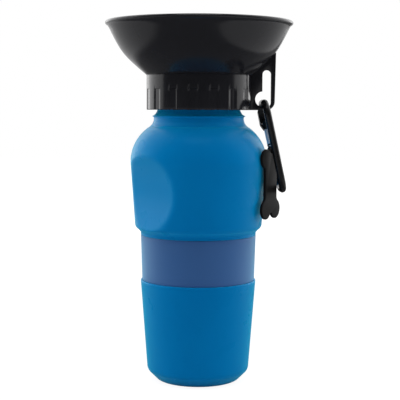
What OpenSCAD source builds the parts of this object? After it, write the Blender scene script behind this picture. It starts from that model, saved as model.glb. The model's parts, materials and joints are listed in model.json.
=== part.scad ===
// Dog travel water bottle: squeeze bottle, bowl cap with a twist valve, carabiner and bone tag.
// Millimetres. The bottle's axis is Z, the bottle stands on Z = 0, the cap's flange points to +X.

/* [Bottle] */
// How much narrower the lower body is just above the base corner than at its top
base_taper = 4.35; // [3:0.05:7]
// How far in the bevelled corner round the base reaches
base_corner_w = 6.8; // [5:0.1:8]
// Height of the bevelled corner round the base
base_corner_h = 6.9; // [5:0.1:8]
// Radius that rounds both edges of that corner
base_corner_r = 4; // [2.5:0.5:5]
// Outer radius of the flat foot ring's inner edge, where the push-up starts
foot_inner_r = 17; // [12:0.5:20]
// Height of the push-up in the middle of the base
push_up_h = 2.5; // [1.5:0.5:4]
// Radius of the lower body where it meets the grip band
lower_top_r = 37.35; // [36:0.05:40]
// Height of the lower body, from the floor to the grip band
lower_h = 65.6; // [55:0.2:75]
// How much wider the belly's low end is than the grip band's upper edge
belly_flare = 3.8; // [2.8:0.1:4.6]
// How much wider the belly is at its widest ring than at its low end
belly_taper = 2.9; // [2:0.1:4]
// Height from the top of the grip band to the belly's widest ring
belly_h = 47; // [44:0.5:52]
// Radius of the rounded corner between belly and waist
belly_corner_r = 4; // [3:0.5:5]
// Radius of the shoulder's arc
shoulder_r = 27.2; // [25:0.2:28]
// Radius of the step between shoulder and neck
step_r = 29; // [28.2:0.1:30]
// Radius of the hollow that joins the shoulder to the step
step_fillet_r = 6.5; // [4:0.5:8]
// Height of the step's upright wall
step_h = 1; // [0.6:0.1:3]
// Wall of the blown bottle
wall = 1.3; // [0.9:0.1:1.8]
// Radial depth of each thumb recess
recess_depth = 6.6; // [4:0.2:7.5]
// Radius of the arc that scoops out a thumb recess
recess_r = 50; // [40:1:60]
// Height of a thumb recess's middle above the grip band's top
recess_up = 28.4; // [25:0.2:32]
// Direction of the first thumb recess round the bottle, from +X
recess_angle = -143; // [-160:1:-120]

/* [Neck] */
// Outer radius of the neck's plain wall
neck_r = 26.25; // [25:0.05:27]
// Wall of the neck
neck_wall = 1.8; // [1.2:0.1:2.4]
// Height of the neck above the bead
neck_h = 20.6; // [20:0.2:24]
// How far the bead under the neck stands out past the step
bead_out = 1.05; // [0.6:0.05:1.4]
// Height of the bead
bead_h = 1.2; // [0.8:0.1:2]
// Rise of the thread in one turn
thread_pitch = 5; // [4.4:0.1:5.6]
// Turns of thread on the neck and in the cap
thread_turns = 1.5; // [1:0.25:1.75]
// Radial height of both threads
thread_h = 1.5; // [1:0.1:1.8]
// Axial width of both threads at the root
thread_root_w = 2.7; // [2:0.1:2.8]
// Axial width of both threads at the crest
thread_crest_w = 1.5; // [1:0.1:1.7]
// Height of the neck thread's lowest turn above the bead
thread_up = 8.6; // [8:0.1:10]

/* [Grip band] */
// Height of the grip band
band_h = 29.3; // [20:0.5:35]
// Thickness of the grip band
band_t = 1.2; // [0.8:0.1:1.8]
// How far the grip band's lower edge lies inside the lower body's top edge
band_sink = 0.95; // [0.7:0.05:1.1]
// How much wider the grip band is at its upper edge than at its lower edge
band_flare = 0.9; // [0:0.1:1.5]

/* [Bowl cap] */
// Outer radius of the collar
collar_r = 33.7; // [33:0.1:36]
// Height of the collar's inside, from its open end to the bowl's floor
collar_in_h = 19.1; // [18.5:0.1:20.5]
// Wall of the collar's outer and inner skirts
skirt_t = 2; // [1.6:0.1:2.2]
// Height of the fluted grip on the collar
flute_h = 13.3; // [8:0.1:16]
// Depth of the collar's flutes
flute_depth = 1; // [0.5:0.1:1.3]
// Number of flutes round the collar
flute_count = 16; // [8:1:24]
// Width of one flute, in degrees round the collar
flute_width = 10; // [6:0.5:13]
// Direction of the first flute from the flange, in degrees
flute_phase = -6.2; // [-20:0.1:20]
// Thickness of the bowl's floor
floor_t = 2.8; // [2:0.1:4]
// Wall of the bowl
bowl_wall = 2.2; // [1.6:0.1:3]
// Outer radius of the bowl's rim
rim_r = 60.1; // [58:0.1:64]
// Height of the bowl from the collar's top to the top of the rim
bowl_h = 34.1; // [33:0.1:38]
// Radius of the bead along the rim
rim_bead_r = 1.35; // [1.15:0.05:1.7]
// Radius where the bowl's low and high walls would meet
bowl_knee_r = 49.4; // [47:0.1:51]
// Height of that meeting above the collar's top
bowl_knee_h = 12.9; // [11.5:0.1:14]
// Radius of the bend that joins the low and high walls
bowl_bend_r = 48; // [20:1:55]

/* [Hang flange] */
// Distance of the flange's outer edge from the bottle's axis, at its top
flange_x = 49.4; // [48.6:0.1:50.4]
// How much nearer the axis the flange's outer edge ends at the bottom
flange_draft = 0.7; // [0:0.1:1]
// Thickness of the flange
flange_t = 3.2; // [2.4:0.1:4]
// Radius of the flange's lower corner
flange_corner_r = 5.5; // [3:0.5:7]
// Width of the strip outside the keyhole
strip_w = 2.5; // [2:0.1:3]
// Height of the strip under the keyhole
strip_h = 2; // [1.5:0.1:3]
// Width of the keyhole's slot
slot_w = 5.4; // [5:0.1:6]
// Radius of the keyhole's round end
lobe_r = 5; // [4:0.1:5.4]
// Height of the keyhole from its lowest to its highest point
keyhole_h = 23.6; // [18:0.2:25]

/* [Valve and tube] */
// Outer radius of the riser in the middle of the bowl
riser_r = 10; // [9:0.1:12]
// Height of the riser above the bowl's floor
riser_h = 12; // [11:0.1:14]
// Wall of the riser
riser_wall = 2.4; // [2.2:0.1:3]
// Width of each water port, in degrees round the riser
port_angle = 60; // [40:1:80]
// Height of each water port
port_h = 5.5; // [4:0.1:6]
// Height of the ports' lower edge above the bowl's floor
port_up = 1.6; // [1:0.1:2]
// Wall of the valve knob
knob_wall = 2.4; // [1.6:0.1:3]
// Thickness of the valve knob's top
knob_top_t = 2.6; // [2:0.1:4]
// Height of the grip bar on the valve knob
knob_bar_h = 5; // [3:0.5:8]
// Width of the grip bar on the valve knob
knob_bar_w = 5; // [4:0.5:7]
// Thickness of the o-ring's section
o_ring_d = 1.6; // [1.2:0.1:1.8]
// Outer radius of the dip tube
tube_r = 6; // [5.5:0.1:6.4]
// Wall of the dip tube
tube_wall = 1.2; // [0.8:0.1:1.5]
// Length of the spigot that the dip tube is pushed on
spigot_l = 12; // [8:0.5:16]
// Wall of the spigot
spigot_wall = 1.4; // [1:0.1:1.6]
// Gap between the dip tube's end and the bottle's floor
tube_gap = 4.2; // [3:0.2:10]
// Height of the notches in the dip tube's end
tube_notch_h = 5; // [3:0.5:8]
// Thickness of the neck gasket
gasket_t = 1.7; // [1:0.1:2]
// Radial width of the neck gasket
gasket_w = 5; // [3:0.1:5.5]

/* [Carabiner] */
// Diameter of the carabiner's rod
rod_d = 4.6; // [4:0.1:4.8]
// Length of the carabiner between the centres of its end rods
loop_l = 56; // [54:0.5:64]
// Distance of the spine's centre from the flange
spine_y = 18; // [17.5:0.1:20]
// Distance of the gate line's centre from the flange, at the nose
nose_y = 10.4; // [9.5:0.1:12]
// Inward slope of the gate line from nose to hinge, in degrees
gate_slope = 8; // [4:0.5:9]
// Bend radius of the corner by the nose
nose_bend_r = 6.5; // [5.5:0.1:7]
// Bend radius of the other corners
loop_bend_r = 8; // [6:0.5:9]
// Diameter of the gate
gate_d = 4; // [3.6:0.1:4.2]
// Length of the gate from the hinge pin to its tip
gate_l = 20; // [18:0.2:21]
// Distance of the hinge pin below the nose bend
hinge_down = 23.4; // [22.5:0.1:25]
// Angle through which the gate opens
gate_travel = 26; // [15:1:28]
// Half thickness of the nose at its widest
nose_half_t = 3.75; // [3.4:0.05:4]
// Length of the nose below the bend
nose_l = 10.1; // [9:0.1:11]
// Diameter of the gate's hinge rivet
rivet_d = 1.6; // [1.2:0.1:1.8]
// Diameter of the gate's latch pin
latch_d = 1.5; // [1.2:0.1:1.7]
// Diameter of the spring's hole in the gate
spring_bore_d = 2.2; // [2:0.1:2.4]
// Wire of the gate spring
spring_wire_d = 0.3; // [0.25:0.05:0.35]
// Turn of the carabiner about its long axis, in degrees
carabiner_turn = 2; // [0:0.5:3]

/* [Bone tag] */
// Length of the bone between its lobes' ends
bone_l = 44.6; // [42:0.2:46]
// Width of the bone across its lobes
bone_w = 25; // [22:0.2:26]
// Width of the bone's shaft
bone_shaft_w = 15.8; // [12:0.2:16.4]
// Radius of the bone's lobes
bone_lobe_r = 6.2; // [5.5:0.1:6.3]
// Thickness of the bone
bone_t = 1.8; // [1.2:0.1:2]
// Radius of the tab on the bone's end
tab_r = 3.2; // [2.9:0.1:3.4]
// Distance of the tab's hole inside the line across the lobes' ends
tab_in = 1.4; // [0.5:0.1:2]
// Radius of the hole in the tab
tab_hole_r = 1.2; // [1:0.05:1.3]
// Drop of the tab's hole below the carabiner's top rod
tag_drop = 30.4; // [29:0.2:31.4]
// Turn of the bone away from facing straight out, in degrees
tag_turn = 59; // [57:0.5:61]
// Direction of the bone's near edge round the bottle, from +X
tag_azimuth = -30; // [-31:0.1:-29]
// Thickness of the rubber link that ties the tag to the carabiner
link_d = 1.2; // [0.8:0.1:1.3]

/* [Hidden] */
$fn = 96;
eps = 0.01;

// Clearances.
seal_gap = 0.05;
snug_gap = 0.03;
running_gap = 0.1;
thread_gap = 0.4;
hang_gap = 0.2;
tag_gap = 0.35;
lift_gap = 0.3;

// Radii up the bottle.
base_r = lower_top_r - base_taper;
band_low_r = lower_top_r - band_sink;
band_top_r = band_low_r + band_flare;
belly_low_r = band_top_r + belly_flare;
belly_r = belly_low_r + belly_taper;

// Heights up the bottle.
band_z = lower_h;
band_top_z = band_z + band_h;
belly_z = band_top_z + belly_h;
belly_low_z = band_top_z + 7.4;
waist_z = belly_low_z - belly_corner_r - 1.5;
lip_bevel = 0.6;
step_z = belly_z + sqrt(pow(shoulder_r + step_fillet_r, 2)
    - pow(step_r + step_fillet_r - belly_r + shoulder_r, 2));
bead_z = step_z + step_h;
neck_z = bead_z + bead_h;
neck_top_z = neck_z + neck_h;
neck_in_r = neck_r - neck_wall;

// Thumb recess, set square to the belly's slope.
belly_slope = atan2(belly_r - belly_low_r, belly_z - belly_low_z);
recess_z = band_top_z + recess_up;
recess_surface_r = belly_low_r + (recess_z - belly_low_z) * tan(belly_slope);
recess_axis_x = recess_surface_r - recess_depth + recess_r * cos(belly_slope);
recess_axis_z = recess_z - recess_r * sin(belly_slope);

// Threads.
thread_z = neck_z + thread_up;
thread_root_r = neck_r + thread_h + thread_gap;
thread_embed = 0.25;
thread_steps_per_turn = 36;

// Heights up the cap.
gasket_z = neck_top_z + seal_gap;
under_floor_z = gasket_z + gasket_t + seal_gap;
floor_z = under_floor_z + floor_t;
collar_z = under_floor_z - collar_in_h;
collar_top_z = floor_z + 0.45;
rim_z = collar_top_z + bowl_h;
inner_skirt_r = thread_root_r + skirt_t;

// Bowl profile: two straight walls, their slopes, and the bend between them.
knee = [bowl_knee_r, collar_top_z + bowl_knee_h];
bowl_start = [collar_r + 0.4, collar_top_z];
rim_centre = [rim_r - rim_bead_r, rim_z - rim_bead_r];
low_slope = atan2(knee.y - bowl_start.y, knee.x - bowl_start.x);
high_slope = atan2(rim_centre.y - knee.y, rim_centre.x + rim_bead_r / 2 - knee.x);

// Flange and keyhole.
slot_out_x = flange_x - flange_draft - strip_w;
slot_mid_x = slot_out_x - slot_w / 2;
lobe_x = slot_out_x - lobe_r;
keyhole_z = collar_z + strip_h;
lobe_z = keyhole_z + lobe_r;
slot_top_z = keyhole_z + keyhole_h - slot_w / 2;
flange_top_z = knee.y + (flange_x - knee.x) * tan(high_slope) + bowl_wall / 2;

// Riser, valve and tube.
riser_top_z = floor_z + riser_h;
chamber_r = riser_r - riser_wall;
port_z = floor_z + port_up;
groove_h = o_ring_d + 0.2;
groove_z = riser_top_z - 1 - groove_h;
o_ring_z = groove_z + groove_h / 2;
knob_bore_r = riser_r + running_gap;
knob_r = knob_bore_r + knob_wall;
groove_r = knob_bore_r - snug_gap - o_ring_d - snug_gap;
knob_z = floor_z + lift_gap;
knob_bore_top_z = riser_top_z + lift_gap;
knob_top_z = knob_bore_top_z + knob_top_t;
spigot_r = tube_r - tube_wall - snug_gap;
spigot_bore_r = spigot_r - spigot_wall;
tube_top_z = under_floor_z - seal_gap;
tube_end_z = push_up_h + wall + tube_gap;

// Carabiner, in its own plane: y across from the flange, z down from the top rod's centre.
rod_r = rod_d / 2;
bend_slack = 0.02;
bend_let_in = 0.6;
pivot = [lobe_x, 0, keyhole_z + rod_r + hang_gap];
loop_in = loop_bend_r - spine_y;
nose_centre = [nose_y - nose_bend_r, -nose_bend_r];
gate_down = [-sin(gate_slope), -cos(gate_slope)];
gate_out = [cos(gate_slope), -sin(gate_slope)];
nose_start = nose_centre + nose_bend_r * gate_out;
hinge = nose_start + hinge_down * gate_down;
low_bend_z = -loop_l + loop_bend_r;
gate_line_in = nose_start - loop_bend_r * gate_out;
low_bend_y = gate_line_in.x + (low_bend_z - gate_line_in.y) * tan(gate_slope);
gate_r = gate_d / 2;
gate_clear = 0.12;
nose_tip_up = hinge_down - nose_l;
nose_wide_up = nose_tip_up + 3.6;
nose_top_up = hinge_down + 2.4;
nose_proud = 0.15;
nose_back = gate_r + gate_clear + 1.3;
latch_up = nose_wide_up + 0.8;
latch_r = latch_d / 2;
latch_l = 2 * nose_half_t - 0.8;
notch_drop = 0.2;
shank_down = 4.5;
tongue_t = 1.6;
tongue_r = 1.75;
tongue_flat = 1.35;
tongue_top = 2.1;
spring_hole_l = 9.5;
spring_start = 4.2;
spring_turns = 9;
spring_r = spring_bore_d / 2 - spring_wire_d / 2 - 0.1;
spring_l = spring_hole_l + tongue_top - spring_start - 0.2;
plunger_r = spring_bore_d / 2 - running_gap;
plunger_gap = 0.26;

// Bone tag, standing beside the belly with its near edge just clear of it.
bone_half_w = bone_w / 2;
lobe_dx = bone_half_w - bone_lobe_r;
lobe_dz = bone_l / 2 - bone_lobe_r;
shaft_fillet_r = 3;
notch_fillet_r = 1;
tab_foot = lobe_dx - 1;
tab_side = 25;
link_down = 7;
tab_up = bone_l / 2 - tab_in;
tag_along = [cos(tag_turn), sin(tag_turn)];
tag_face = [sin(tag_turn), -cos(tag_turn)];
tag_edge = (belly_r + tag_gap) * [cos(tag_azimuth), sin(tag_azimuth)];
tag_xy = tag_edge + bone_half_w * tag_along + bone_t / 2 * tag_face;
tag_eye = [tag_xy.x, tag_xy.y, pivot.z - tag_drop];

// The carabiner leans out just far enough for its spine to pass the bone tag.
spine_past_tag = 2.25;
lean = atan2(tag_eye.x + spine_past_tag - pivot.x, tag_drop);

// Arc in a profile, from angle a0 to a1 about c.
function arc(c, r, a0, a1, n = 12) =
    [for (i = [0:n]) c + r * [cos(a0 + (a1 - a0) * i / n), sin(a0 + (a1 - a0) * i / n)]];

// Arc that rounds the corner p1 between the lines from p0 and to p2.
function unit(v) = v / norm(v);
function rounded(p0, p1, p2, r, n = 10) =
    let (
        a = unit(p0 - p1),
        b = unit(p2 - p1),
        half = acos(a * b) / 2,
        c = p1 + unit(a + b) * r / sin(half),
        t0 = p1 + a * r / tan(half) - c,
        t1 = p1 + b * r / tan(half) - c,
        a0 = atan2(t0.y, t0.x),
        turn = atan2(t0.x * t1.y - t0.y * t1.x, t0 * t1)
    )
    [for (i = [0:n]) c + r * [cos(a0 + turn * i / n), sin(a0 + turn * i / n)]];

// Low and high edge of the bevel round the base, inset by t.
base_bevel = atan2(base_corner_h, base_corner_w);
function base_edge(t) = [base_r - base_corner_w - t * tan(base_bevel / 2), t];
function base_side(t) = [base_r - t, base_corner_h + t * tan(45 - base_bevel / 2)];

// Outline of the bottle, inset by t for the cavity's outline.
function bottle_profile(t) = concat(
    [[0, push_up_h + t]],
    [[foot_inner_r - t, t]],
    rounded([0, t], base_edge(t), base_side(t), base_corner_r - t, 5),
    rounded(base_edge(t), base_side(t), [lower_top_r - t, band_z], base_corner_r, 5),
    [[lower_top_r - t, band_z - lip_bevel - t]],
    [[lower_top_r - lip_bevel - t, band_z - t]],
    [[band_low_r - band_t - snug_gap - t, band_z - t]],
    [[band_top_r - band_t - snug_gap - t, band_top_z + t]],
    [[band_top_r - t, band_top_z + t]],
    [[band_top_r - t, waist_z + t / 2]],
    arc([belly_low_r - belly_corner_r, belly_low_z], belly_corner_r - t, -62, -belly_slope, 8),
    arc([belly_r - shoulder_r, belly_z], shoulder_r - t, 0,
        asin((step_z - belly_z) / (shoulder_r + step_fillet_r)), 18),
    arc([step_r + step_fillet_r, step_z], step_fillet_r + t,
        180 + asin((step_z - belly_z) / (shoulder_r + step_fillet_r)), 180, 5)
);

function neck_profile() = [
    [step_r, bead_z],
    [step_r + bead_out, bead_z + bead_h * 0.35],
    [step_r - 0.9, neck_z + 0.5],
    [neck_r + 0.65, neck_z + 2.4],
    [neck_r, neck_z + 4.4],
    [neck_r, neck_top_z - 0.6],
    [neck_r - 0.6, neck_top_z],
    [0, neck_top_z]
];

function cavity_top() = [
    [neck_in_r, bead_z + wall * 0.7],
    [neck_in_r, neck_top_z + 1],
    [0, neck_top_z + 1]
];

// Ring of a swept thread: its section stands on radius r and points out (side 1) or in (side -1).
function thread_ring(r, side, angle, z, share) =
    let (
        root = r - side * thread_embed,
        crest = r + side * thread_h * share,
        w0 = side * thread_root_w / 2,
        w1 = side * thread_crest_w / 2
    )
    [for (p = [[root, w0], [crest, w1], [crest, -w1], [root, -w0]])
        [p[0] * cos(angle), p[0] * sin(angle), z + p[1]]];

// One helical thread, with both ends run out to nothing.
module thread(r, side, z) {
    steps = ceil(thread_turns * thread_steps_per_turn);
    fade = 4;
    rings = [for (i = [0:steps])
        thread_ring(r, side, 360 * thread_turns * i / steps, z + thread_pitch * thread_turns * i / steps,
            max(0.05, min(1, i / fade, (steps - i) / fade)))];
    swept_tube(rings, false);
}

// Skin over a list of rings, closed into a loop or capped at its two ends.
module swept_tube(rings, closed) {
    n = len(rings);
    m = len(rings[0]);
    spans = closed ? n : n - 1;
    sides = [for (i = [0:spans - 1], j = [0:m - 1])
        let (k = (i + 1) % n, l = (j + 1) % m)
        each [[i * m + j, k * m + j, k * m + l], [i * m + j, k * m + l, i * m + l]]];
    caps = closed ? [] : [[for (j = [0:m - 1]) j], [for (j = [m - 1:-1:0]) (n - 1) * m + j]];
    polyhedron(points = [for (ring = rings) each ring], faces = concat(sides, caps), convexity = 8);
}

// Horizontal cylinders that scoop out the two thumb recesses, grown by t.
module recess_cutters(t) {
    for (a = [recess_angle, recess_angle + 180])
        rotate([0, 0, a])
            translate([recess_axis_x, 0, recess_axis_z])
                rotate([90, 0, 0])
                    cylinder(h = 3 * belly_r, r = recess_r + t, center = true, $fn = 192);
}

module squeeze_bottle() color("royalblue") {
    difference() {
        rotate_extrude($fn = 192) polygon(concat(bottle_profile(0), neck_profile()));
        recess_cutters(0);
        difference() {
            rotate_extrude($fn = 192) polygon(concat(bottle_profile(wall), cavity_top()));
            recess_cutters(wall);
        }
    }
    thread(neck_r, 1, thread_z);
}

module grip_band() color("steelblue")
    rotate_extrude($fn = 192) polygon([
        [band_low_r - band_t, band_z + seal_gap],
        [band_low_r - 0.3, band_z + seal_gap],
        [band_low_r, band_z + seal_gap + 0.3],
        [band_top_r, band_top_z - seal_gap - 0.3],
        [band_top_r - 0.3, band_top_z - seal_gap],
        [band_top_r - band_t, band_top_z - seal_gap]
    ]);

module neck_gasket() color("gainsboro")
    translate([0, 0, gasket_z])
        rotate_extrude() translate([thread_root_r - 0.25 - gasket_w, 0]) square([gasket_w, gasket_t]);

// Shift of a wall's corner that lies between two slopes, for a wall of thickness t.
function wall_shift(a, b, t) = t / cos((b - a) / 2) * [-sin((a + b) / 2), cos((a + b) / 2)];

floor_corner = [
    knee.x + wall_shift(low_slope, low_slope, bowl_wall).x
        - (knee.y + wall_shift(low_slope, low_slope, bowl_wall).y - floor_z) / tan(low_slope),
    floor_z
];
inner_knee = knee + wall_shift(low_slope, high_slope, bowl_wall);
inner_rim = [rim_centre.x - rim_bead_r * 0.6, rim_z];

function bowl_inside() = concat(
    [[0, floor_z]],
    rounded([0, floor_z], floor_corner, inner_knee, 6, 8),
    rounded(floor_corner, inner_knee, inner_rim, bowl_bend_r - bowl_wall, 10)
);

module bowl_wall_shape()
    rotate_extrude($fn = 192) {
        polygon(concat(
            bowl_inside(),
            [rim_centre + [-rim_bead_r * 0.6, 0]],
            [rim_centre + [rim_bead_r * 0.4, -rim_bead_r * 0.6]],
            rounded(rim_centre, knee, bowl_start, bowl_bend_r, 10),
            [bowl_start],
            [[collar_r, collar_top_z]],
            [[collar_r, under_floor_z]],
            [[0, under_floor_z]]
        ));
        translate(rim_centre) circle(r = rim_bead_r, $fn = 32);
    }

module skirts()
    translate([0, 0, collar_z])
        rotate_extrude($fn = 192) {
            translate([thread_root_r, 0]) square([skirt_t, collar_in_h + eps]);
            translate([collar_r - skirt_t, 0]) square([skirt_t, collar_in_h + eps]);
            translate([thread_root_r, collar_in_h - 5]) square([collar_r - thread_root_r, 5 + eps]);
        }

module flutes()
    for (i = [0:flute_count - 1])
        rotate([0, 0, flute_phase + 360 / flute_count * i - flute_width / 2])
            translate([0, 0, collar_z - 1])
                rotate_extrude(angle = flute_width, $fn = 192)
                    translate([collar_r - flute_depth, 0]) square([flute_depth + 1, flute_h + 1]);

module flange_shape() {
    low_out = [flange_x - flange_draft, collar_z];
    difference() {
        polygon(concat(
            [[collar_r - skirt_t / 2, collar_z]],
            rounded([0, collar_z], low_out, [flange_x, flange_top_z], flange_corner_r, 10),
            [[flange_x, flange_top_z]],
            [[collar_r - skirt_t / 2, flange_top_z]]
        ));
        translate([lobe_x, lobe_z]) circle(r = lobe_r);
        translate([slot_mid_x, slot_top_z]) circle(r = slot_w / 2);
        translate([slot_mid_x, keyhole_z + slot_w / 2]) circle(r = slot_w / 2);
        translate([slot_mid_x - slot_w / 2, keyhole_z + slot_w / 2])
            square([slot_w, slot_top_z - keyhole_z - slot_w / 2]);
    }
}

module flange()
    difference() {
        rotate([90, 0, 0]) linear_extrude(height = flange_t, center = true) flange_shape();
        rotate_extrude($fn = 192)
            polygon(concat(bowl_inside(), [[inner_rim.x, rim_z + 1], [0, rim_z + 1]]));
    }

// Two facing windows, cut through a ring wall between radii r0 and r1.
module ports(r0, r1)
    for (a = [0, 180])
        rotate([0, 0, a - port_angle / 2])
            translate([0, 0, port_z])
                rotate_extrude(angle = port_angle) translate([r0, 0]) square([r1 - r0, port_h]);

module riser()
    difference() {
        translate([0, 0, floor_z - eps]) cylinder(h = riser_h + eps, r = riser_r);
        translate([0, 0, floor_z]) cylinder(h = riser_h + 1, r = chamber_r);
        ports(chamber_r - 1, riser_r + 1);
        translate([0, 0, groove_z])
            rotate_extrude() translate([groove_r, 0]) square([riser_r, groove_h]);
    }

module bowl_cap() color("#26282b") {
    difference() {
        union() {
            bowl_wall_shape();
            difference() {
                skirts();
                flutes();
            }
            translate([0, 0, under_floor_z - spigot_l]) cylinder(h = spigot_l + eps, r = spigot_r);
        }
        translate([0, 0, under_floor_z - spigot_l - 1])
            cylinder(h = spigot_l + floor_t + 2, r = spigot_bore_r);
    }
    flange();
    riser();
    thread(thread_root_r, -1, thread_z - thread_pitch / 2);
}

module dip_tube() color("lightsteelblue")
    difference() {
        translate([0, 0, tube_end_z]) cylinder(h = tube_top_z - tube_end_z, r = tube_r);
        translate([0, 0, tube_end_z - 1]) cylinder(h = tube_top_z - tube_end_z + 2, r = tube_r - tube_wall);
        for (a = [0, 90])
            rotate([90, 0, a])
                linear_extrude(height = 3 * tube_r, center = true)
                    polygon([
                        [-tube_r / 3, tube_end_z - 1],
                        [tube_r / 3, tube_end_z - 1],
                        [0, tube_end_z + tube_notch_h]
                    ]);
    }

module valve_o_ring() color("dimgray")
    translate([0, 0, o_ring_z])
        rotate_extrude()
            translate([knob_bore_r - snug_gap - o_ring_d / 2, 0]) circle(r = o_ring_d / 2, $fn = 32);

module valve_knob() color("#303236")
    difference() {
        union() {
            rotate_extrude() polygon(concat(
                [[0, knob_z]],
                [[knob_r, knob_z]],
                rounded([knob_r, knob_z], [knob_r, knob_top_z], [0, knob_top_z], 3, 6),
                [[0, knob_top_z]]
            ));
            intersection() {
                translate([-knob_bar_w / 2, -knob_r, knob_top_z - 3])
                    cube([knob_bar_w, 2 * knob_r, knob_bar_h + 3]);
                cylinder(h = knob_top_z + knob_bar_h, r = knob_r - 1);
            }
        }
        translate([0, 0, knob_z - 1]) cylinder(h = knob_bore_top_z - knob_z + 1, r = knob_bore_r);
        ports(knob_bore_r - 1, knob_r + 1);
    }

// Carabiner's own frame: z along its length, y across it, x through its thickness.
module at_carabiner()
    translate(pivot) rotate([0, -lean, 0]) rotate([0, 0, carabiner_turn]) children();

// Lays plane coordinates (across, along) into the carabiner's plane.
module in_loop() rotate([90, 0, 90]) children();

// Gate's own frame: origin on the hinge pin, z up along the gate, y outward.
module at_gate()
    at_carabiner() translate([0, hinge.x, hinge.y]) rotate([-gate_slope, 0, 0]) children();

module rod(p, q)
    translate(p)
        rotate([0, 0, atan2(q.y - p.y, q.x - p.x)])
            rotate([0, 90, 0]) cylinder(h = norm(q - p), r = rod_r, $fn = 48);

// Bend a hair thinner than the rods, with both ends let into them.
module bend(c, r, a0, a1)
    translate(c)
        rotate([0, 0, a0 - bend_let_in])
            rotate_extrude(angle = a1 - a0 + 2 * bend_let_in, $fn = 96)
                translate([r, 0]) circle(r = rod_r - bend_slack, $fn = 48);

// Nose seen square to the carabiner's plane: full width below the top bend, chamfered at the mouth.
module nose_face_shape()
    polygon([
        [-rod_r - 0.1, nose_top_up + 2.6],
        [-nose_half_t, nose_top_up],
        [-nose_half_t, nose_wide_up],
        [-gate_r - gate_clear, nose_tip_up],
        [gate_r + gate_clear, nose_tip_up],
        [nose_half_t, nose_wide_up],
        [nose_half_t, nose_top_up],
        [rod_r + 0.1, nose_top_up + 2.6]
    ]);

// Nose seen in the carabiner's plane: its back follows the top bend.
module nose_side_shape()
    polygon([
        [-rod_r - nose_proud, nose_tip_up - 0.5],
        [nose_back, nose_tip_up - 0.5],
        [nose_back, hinge_down - 1.2],
        [rod_r + nose_proud, hinge_down + 1],
        [rod_r - 1.2, hinge_down + 4.3],
        [-rod_r + 1, hinge_down + 5.8],
        [-rod_r - 1.8, hinge_down + 4.2],
        [-rod_r - nose_proud, hinge_down + 1]
    ]);

// Forked nose: two ears round the gate's tip, each with a notch for the latch pin.
module nose()
    difference() {
        intersection() {
            translate([0, 3 * rod_d, 0])
                rotate([90, 0, 0]) linear_extrude(height = 6 * rod_d) nose_face_shape();
            rotate([90, 0, 90])
                linear_extrude(height = 4 * nose_half_t, center = true) nose_side_shape();
        }
        translate([-gate_r - gate_clear, -2 * rod_r, nose_tip_up - 1])
            cube([gate_d + 2 * gate_clear, 2 * rod_r + gate_r + gate_clear,
                gate_l - nose_tip_up + 1.4]);
        translate([-2 * nose_half_t, -2 * rod_r, latch_up - latch_r - gate_clear - notch_drop])
            cube([4 * nose_half_t, 2 * rod_r + latch_r + gate_clear, latch_d + 2 * gate_clear + notch_drop]);
    }

// Tongue that the gate's fork straddles, with a flat for the plunger.
module tongue()
    difference() {
        rotate([0, 90, 0])
            linear_extrude(height = tongue_t, center = true)
                intersection() {
                    union() {
                        circle(r = tongue_r);
                        translate([0, -tongue_r]) square([6, 2 * tongue_r]);
                    }
                    translate([-tongue_flat, -2 * tongue_r]) square([8 + tongue_flat, 4 * tongue_r]);
                }
        rotate([0, 90, 0]) cylinder(h = 2 * rod_d, r = rivet_d / 2, center = true, $fn = 32);
    }

module carabiner_frame() color("#1b1c1f") {
    at_carabiner() in_loop() {
        rod([loop_in, 0], [nose_centre.x, 0]);
        bend([loop_in, -loop_bend_r], loop_bend_r, 90, 180);
        rod([-spine_y, -loop_bend_r], [-spine_y, low_bend_z]);
        bend([loop_in, low_bend_z], loop_bend_r, 180, 270);
        rod([loop_in, -loop_l], [low_bend_y, -loop_l]);
        bend([low_bend_y, low_bend_z], loop_bend_r, -90, -gate_slope);
        rod([low_bend_y, low_bend_z] + loop_bend_r * gate_out, hinge + shank_down * gate_down);
        bend(nose_centre, nose_bend_r, -gate_slope, 90);
    }
    at_gate() {
        nose();
        tongue();
    }
}

module carabiner_gate() color("silver")
    at_gate()
        difference() {
            union() {
                cylinder(h = gate_l, r = gate_r, $fn = 48);
                rotate([0, 90, 0])
                    intersection() {
                        cylinder(h = gate_d, r = gate_r, center = true, $fn = 48);
                        translate([0, 0, -gate_r]) cube([2 * gate_d, 2 * gate_d, gate_d], center = false);
                    }
                sphere(r = gate_r, $fn = 48);
            }
            translate([-tongue_t / 2 - gate_clear, -gate_d, -gate_d])
                cube([tongue_t + 2 * gate_clear, 2 * gate_d, gate_d + tongue_top]);
            rotate([0, 90, 0]) cylinder(h = 2 * gate_d, r = rivet_d / 2 + snug_gap, center = true, $fn = 32);
            cylinder(h = tongue_top + spring_hole_l, r = spring_bore_d / 2, $fn = 32);
            translate([0, 0, latch_up])
                rotate([0, 90, 0]) cylinder(h = 2 * gate_d, r = latch_r, center = true, $fn = 32);
        }

module gate_rivet() color("gainsboro")
    at_gate()
        rotate([0, 90, 0]) cylinder(h = gate_d, r = rivet_d / 2, center = true, $fn = 32);

module latch_pin() color("gainsboro")
    at_gate()
        translate([0, 0, latch_up])
            rotate([0, 90, 0]) cylinder(h = latch_l, r = latch_r, center = true, $fn = 32);

module gate_spring() color("lightgray")
    at_gate() {
        steps = spring_turns * 10;
        swept_tube([for (i = [0:steps])
            let (a = 360 * spring_turns * i / steps, z = spring_start + spring_l * i / steps)
            [for (j = [0:5])
                let (rr = spring_r + spring_wire_d / 2 * cos(60 * j))
                [rr * cos(a), rr * sin(a), z - spring_wire_d / 2 * sin(60 * j)]]], false);
    }

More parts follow.
